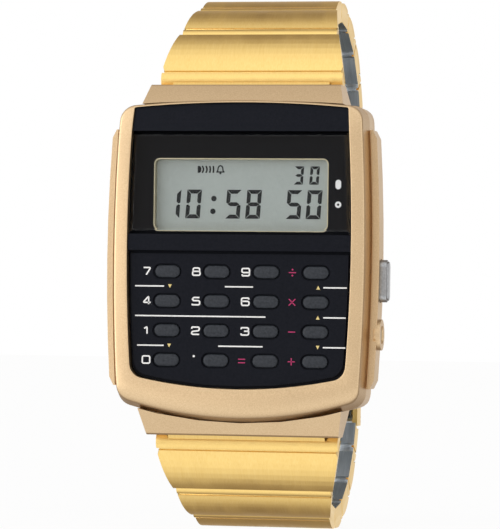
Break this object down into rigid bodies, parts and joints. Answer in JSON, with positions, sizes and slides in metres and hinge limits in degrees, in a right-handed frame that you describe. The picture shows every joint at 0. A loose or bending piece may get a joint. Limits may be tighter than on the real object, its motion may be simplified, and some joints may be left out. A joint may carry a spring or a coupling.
{
  "type": "calculator wristwatch",
  "caption": "Digital calculator watch with keypad face, bevelled display window, side buttons and a folded-link bracelet with fold-over clasp.",
  "frame": {"origin": "centre of the case back's outer face", "axes": "the face looks along -Y, twelve o'clock is +Z and three o'clock is +X"},
  "size_m": [0.0342, 0.0448, 0.0656],
  "materials": {
    "case_gold": "matte champagne gold plating, fine grain",
    "bracelet_gold": "satin yellow gold plating, brushed along the band",
    "panel_black": "black moulded panel",
    "window_glass": "clear bevelled glass",
    "mask_black": "black printed film",
    "display_gold": "pale gold frame",
    "display_cell": "grey green display cell",
    "key_plastic": "dark grey keys",
    "silicone": "dark silicone rubber",
    "board_green": "green circuit board",
    "frame_plastic": "dark moulded frame",
    "cell_steel": "bright steel",
    "buzzer_brass": "thin brass disc",
    "back_steel": "brushed steel",
    "bar_steel": "satin steel"
  },
  "bodies": {
    "case": {"case_body": "case_gold", "bezel": "case_gold", "face_panel": "panel_black", "display_glass": "window_glass", "display_mask": "mask_black", "lcd_frame": "display_gold", "lcd_cell": "display_cell", "keypad_mat": "silicone", "zebra_strips": "silicone", "circuit_board": "board_green", "module_frame": "frame_plastic", "battery": "cell_steel", "battery_clip": "cell_steel", "buzzer": "buzzer_brass", "buzzer_spring": "cell_steel", "case_back": "back_steel", "back_gasket": "silicone", "back_screws": "back_steel", "button_gaskets": "silicone", "spring_bar_upper": "bar_steel", "spring_bar_lower": "bar_steel"},
    "key_7": {"key_7": "key_plastic"},
    "key_8": {"key_8": "key_plastic"},
    "key_9": {"key_9": "key_plastic"},
    "key_divide": {"key_divide": "key_plastic"},
    "key_4": {"key_4": "key_plastic"},
    "key_5": {"key_5": "key_plastic"},
    "key_6": {"key_6": "key_plastic"},
    "key_times": {"key_times": "key_plastic"},
    "key_1": {"key_1": "key_plastic"},
    "key_2": {"key_2": "key_plastic"},
    "key_3": {"key_3": "key_plastic"},
    "key_minus": {"key_minus": "key_plastic"},
    "key_0": {"key_0": "key_plastic"},
    "key_point": {"key_point": "key_plastic"},
    "key_equals": {"key_equals": "key_plastic"},
    "key_plus": {"key_plus": "key_plastic"},
    "mode_button": {"mode_button": "bar_steel"},
    "adjust_button": {"adjust_button": "bar_steel"},
    "upper_link_1": {"upper_link_1": "bracelet_gold"},
    "upper_link_2": {"upper_link_2": "bracelet_gold"},
    "upper_link_3": {"upper_link_3": "bracelet_gold"},
    "upper_link_4": {"upper_link_4": "bracelet_gold"},
    "upper_link_5": {"upper_link_5": "bracelet_gold"},
    "upper_link_6": {"upper_link_6": "bracelet_gold"},
    "upper_link_7": {"upper_link_7": "bracelet_gold"},
    "lower_link_1": {"lower_link_1": "bracelet_gold"},
    "lower_link_2": {"lower_link_2": "bracelet_gold"},
    "lower_link_3": {"lower_link_3": "bracelet_gold"},
    "lower_link_4": {"lower_link_4": "bracelet_gold"},
    "lower_link_5": {"lower_link_5": "bracelet_gold"},
    "lower_link_6": {"lower_link_6": "bracelet_gold"},
    "lower_link_7": {"lower_link_7": "bracelet_gold"},
    "clasp_end_blade": {"clasp_end_blade": "bar_steel"},
    "clasp_mid_blade": {"clasp_mid_blade": "bar_steel"},
    "clasp_cover": {"clasp_cover": "bracelet_gold"}
  },
  "joints": [
    {"name": "clasp_end_hinge", "type": "hinge", "parent": "lower_link_7", "child": "clasp_end_blade", "pos_m": [0, 0.0335, -0.01836], "axis": [-1, 0, 0], "range_deg": [0, 25]},
    {"name": "clasp_mid_hinge", "type": "hinge", "parent": "clasp_end_blade", "child": "clasp_mid_blade", "pos_m": [0, 0.03465, 0.01536], "axis": [1, 0, 0], "range_deg": [0, 150]},
    {"name": "clasp_cover_hinge", "type": "hinge", "parent": "clasp_mid_blade", "child": "clasp_cover", "pos_m": [0, 0.0353, -0.01976], "axis": [-1, 0, 0], "range_deg": [0, 150]},
    {"name": "upper_hinge_1", "type": "hinge", "parent": "case", "child": "upper_link_1", "pos_m": [0, -0.0021, 0.01975], "axis": [1, 0, 0], "range_deg": [0, 40.5]},
    {"name": "upper_hinge_2", "type": "hinge", "parent": "upper_link_1", "child": "upper_link_2", "pos_m": [0, 0.00439, 0.02735], "axis": [1, 0, 0], "range_deg": [0, 19.05]},
    {"name": "upper_hinge_3", "type": "hinge", "parent": "upper_link_2", "child": "upper_link_3", "pos_m": [0, 0.00957, 0.03039], "axis": [1, 0, 0], "range_deg": [0, 19.05]},
    {"name": "upper_hinge_4", "type": "hinge", "parent": "upper_link_3", "child": "upper_link_4", "pos_m": [0, 0.01545, 0.03158], "axis": [1, 0, 0], "range_deg": [0, 19.05]},
    {"name": "upper_hinge_5", "type": "hinge", "parent": "upper_link_4", "child": "upper_link_5", "pos_m": [0, 0.0214, 0.03078], "axis": [1, 0, 0], "range_deg": [0, 19.05]},
    {"name": "upper_hinge_6", "type": "hinge", "parent": "upper_link_5", "child": "upper_link_6", "pos_m": [0, 0.02676, 0.02809], "axis": [1, 0, 0], "range_deg": [0, 19.05]},
    {"name": "upper_hinge_7", "type": "hinge", "parent": "upper_link_6", "child": "upper_link_7", "pos_m": [0, 0.03094, 0.02379], "axis": [1, 0, 0], "range_deg": [0, 19.05]},
    {"name": "lower_hinge_1", "type": "hinge", "parent": "case", "child": "lower_link_1", "pos_m": [0, -0.0021, -0.01975], "axis": [-1, 0, 0], "range_deg": [0, 40.5]},
    {"name": "lower_hinge_2", "type": "hinge", "parent": "lower_link_1", "child": "lower_link_2", "pos_m": [0, 0.00439, -0.02735], "axis": [-1, 0, 0], "range_deg": [0, 19.05]},
    {"name": "lower_hinge_3", "type": "hinge", "parent": "lower_link_2", "child": "lower_link_3", "pos_m": [0, 0.00957, -0.03039], "axis": [-1, 0, 0], "range_deg": [0, 19.05]},
    {"name": "lower_hinge_4", "type": "hinge", "parent": "lower_link_3", "child": "lower_link_4", "pos_m": [0, 0.01545, -0.03158], "axis": [-1, 0, 0], "range_deg": [0, 19.05]},
    {"name": "lower_hinge_5", "type": "hinge", "parent": "lower_link_4", "child": "lower_link_5", "pos_m": [0, 0.0214, -0.03078], "axis": [-1, 0, 0], "range_deg": [0, 19.05]},
    {"name": "lower_hinge_6", "type": "hinge", "parent": "lower_link_5", "child": "lower_link_6", "pos_m": [0, 0.02676, -0.02809], "axis": [-1, 0, 0], "range_deg": [0, 19.05]},
    {"name": "lower_hinge_7", "type": "hinge", "parent": "lower_link_6", "child": "lower_link_7", "pos_m": [0, 0.03094, -0.02379], "axis": [-1, 0, 0], "range_deg": [0, 19.05]},
    {"name": "key_7_press", "type": "slide", "parent": "case", "child": "key_7", "axis": [0, 1, 0], "range_m": [0, 0.00035], "stiffness_N_per_m": 300},
    {"name": "key_8_press", "type": "slide", "parent": "case", "child": "key_8", "axis": [0, 1, 0], "range_m": [0, 0.00035], "stiffness_N_per_m": 300},
    {"name": "key_9_press", "type": "slide", "parent": "case", "child": "key_9", "axis": [0, 1, 0], "range_m": [0, 0.00035], "stiffness_N_per_m": 300},
    {"name": "key_divide_press", "type": "slide", "parent": "case", "child": "key_divide", "axis": [0, 1, 0], "range_m": [0, 0.00035], "stiffness_N_per_m": 300},
    {"name": "key_4_press", "type": "slide", "parent": "case", "child": "key_4", "axis": [0, 1, 0], "range_m": [0, 0.00035], "stiffness_N_per_m": 300},
    {"name": "key_5_press", "type": "slide", "parent": "case", "child": "key_5", "axis": [0, 1, 0], "range_m": [0, 0.00035], "stiffness_N_per_m": 300},
    {"name": "key_6_press", "type": "slide", "parent": "case", "child": "key_6", "axis": [0, 1, 0], "range_m": [0, 0.00035], "stiffness_N_per_m": 300},
    {"name": "key_times_press", "type": "slide", "parent": "case", "child": "key_times", "axis": [0, 1, 0], "range_m": [0, 0.00035], "stiffness_N_per_m": 300},
    {"name": "key_1_press", "type": "slide", "parent": "case", "child": "key_1", "axis": [0, 1, 0], "range_m": [0, 0.00035], "stiffness_N_per_m": 300},
    {"name": "key_2_press", "type": "slide", "parent": "case", "child": "key_2", "axis": [0, 1, 0], "range_m": [0, 0.00035], "stiffness_N_per_m": 300},
    {"name": "key_3_press", "type": "slide", "parent": "case", "child": "key_3", "axis": [0, 1, 0], "range_m": [0, 0.00035], "stiffness_N_per_m": 300},
    {"name": "key_minus_press", "type": "slide", "parent": "case", "child": "key_minus", "axis": [0, 1, 0], "range_m": [0, 0.00035], "stiffness_N_per_m": 300},
    {"name": "key_0_press", "type": "slide", "parent": "case", "child": "key_0", "axis": [0, 1, 0], "range_m": [0, 0.00035], "stiffness_N_per_m": 300},
    {"name": "key_point_press", "type": "slide", "parent": "case", "child": "key_point", "axis": [0, 1, 0], "range_m": [0, 0.00035], "stiffness_N_per_m": 300},
    {"name": "key_equals_press", "type": "slide", "parent": "case", "child": "key_equals", "axis": [0, 1, 0], "range_m": [0, 0.00035], "stiffness_N_per_m": 300},
    {"name": "key_plus_press", "type": "slide", "parent": "case", "child": "key_plus", "axis": [0, 1, 0], "range_m": [0, 0.00035], "stiffness_N_per_m": 300},
    {"name": "mode_button_press", "type": "slide", "parent": "case", "child": "mode_button", "axis": [-1, 0, 0], "range_m": [0, 0.0005], "stiffness_N_per_m": 500},
    {"name": "adjust_button_press", "type": "slide", "parent": "case", "child": "adjust_button", "axis": [-1, 0, 0], "range_m": [0, 0.0005], "stiffness_N_per_m": 500}
  ],
  "couplings": [
    {"joint": "clasp_mid_hinge", "follows": "clasp_cover_hinge", "ratio": 1}
  ]
}
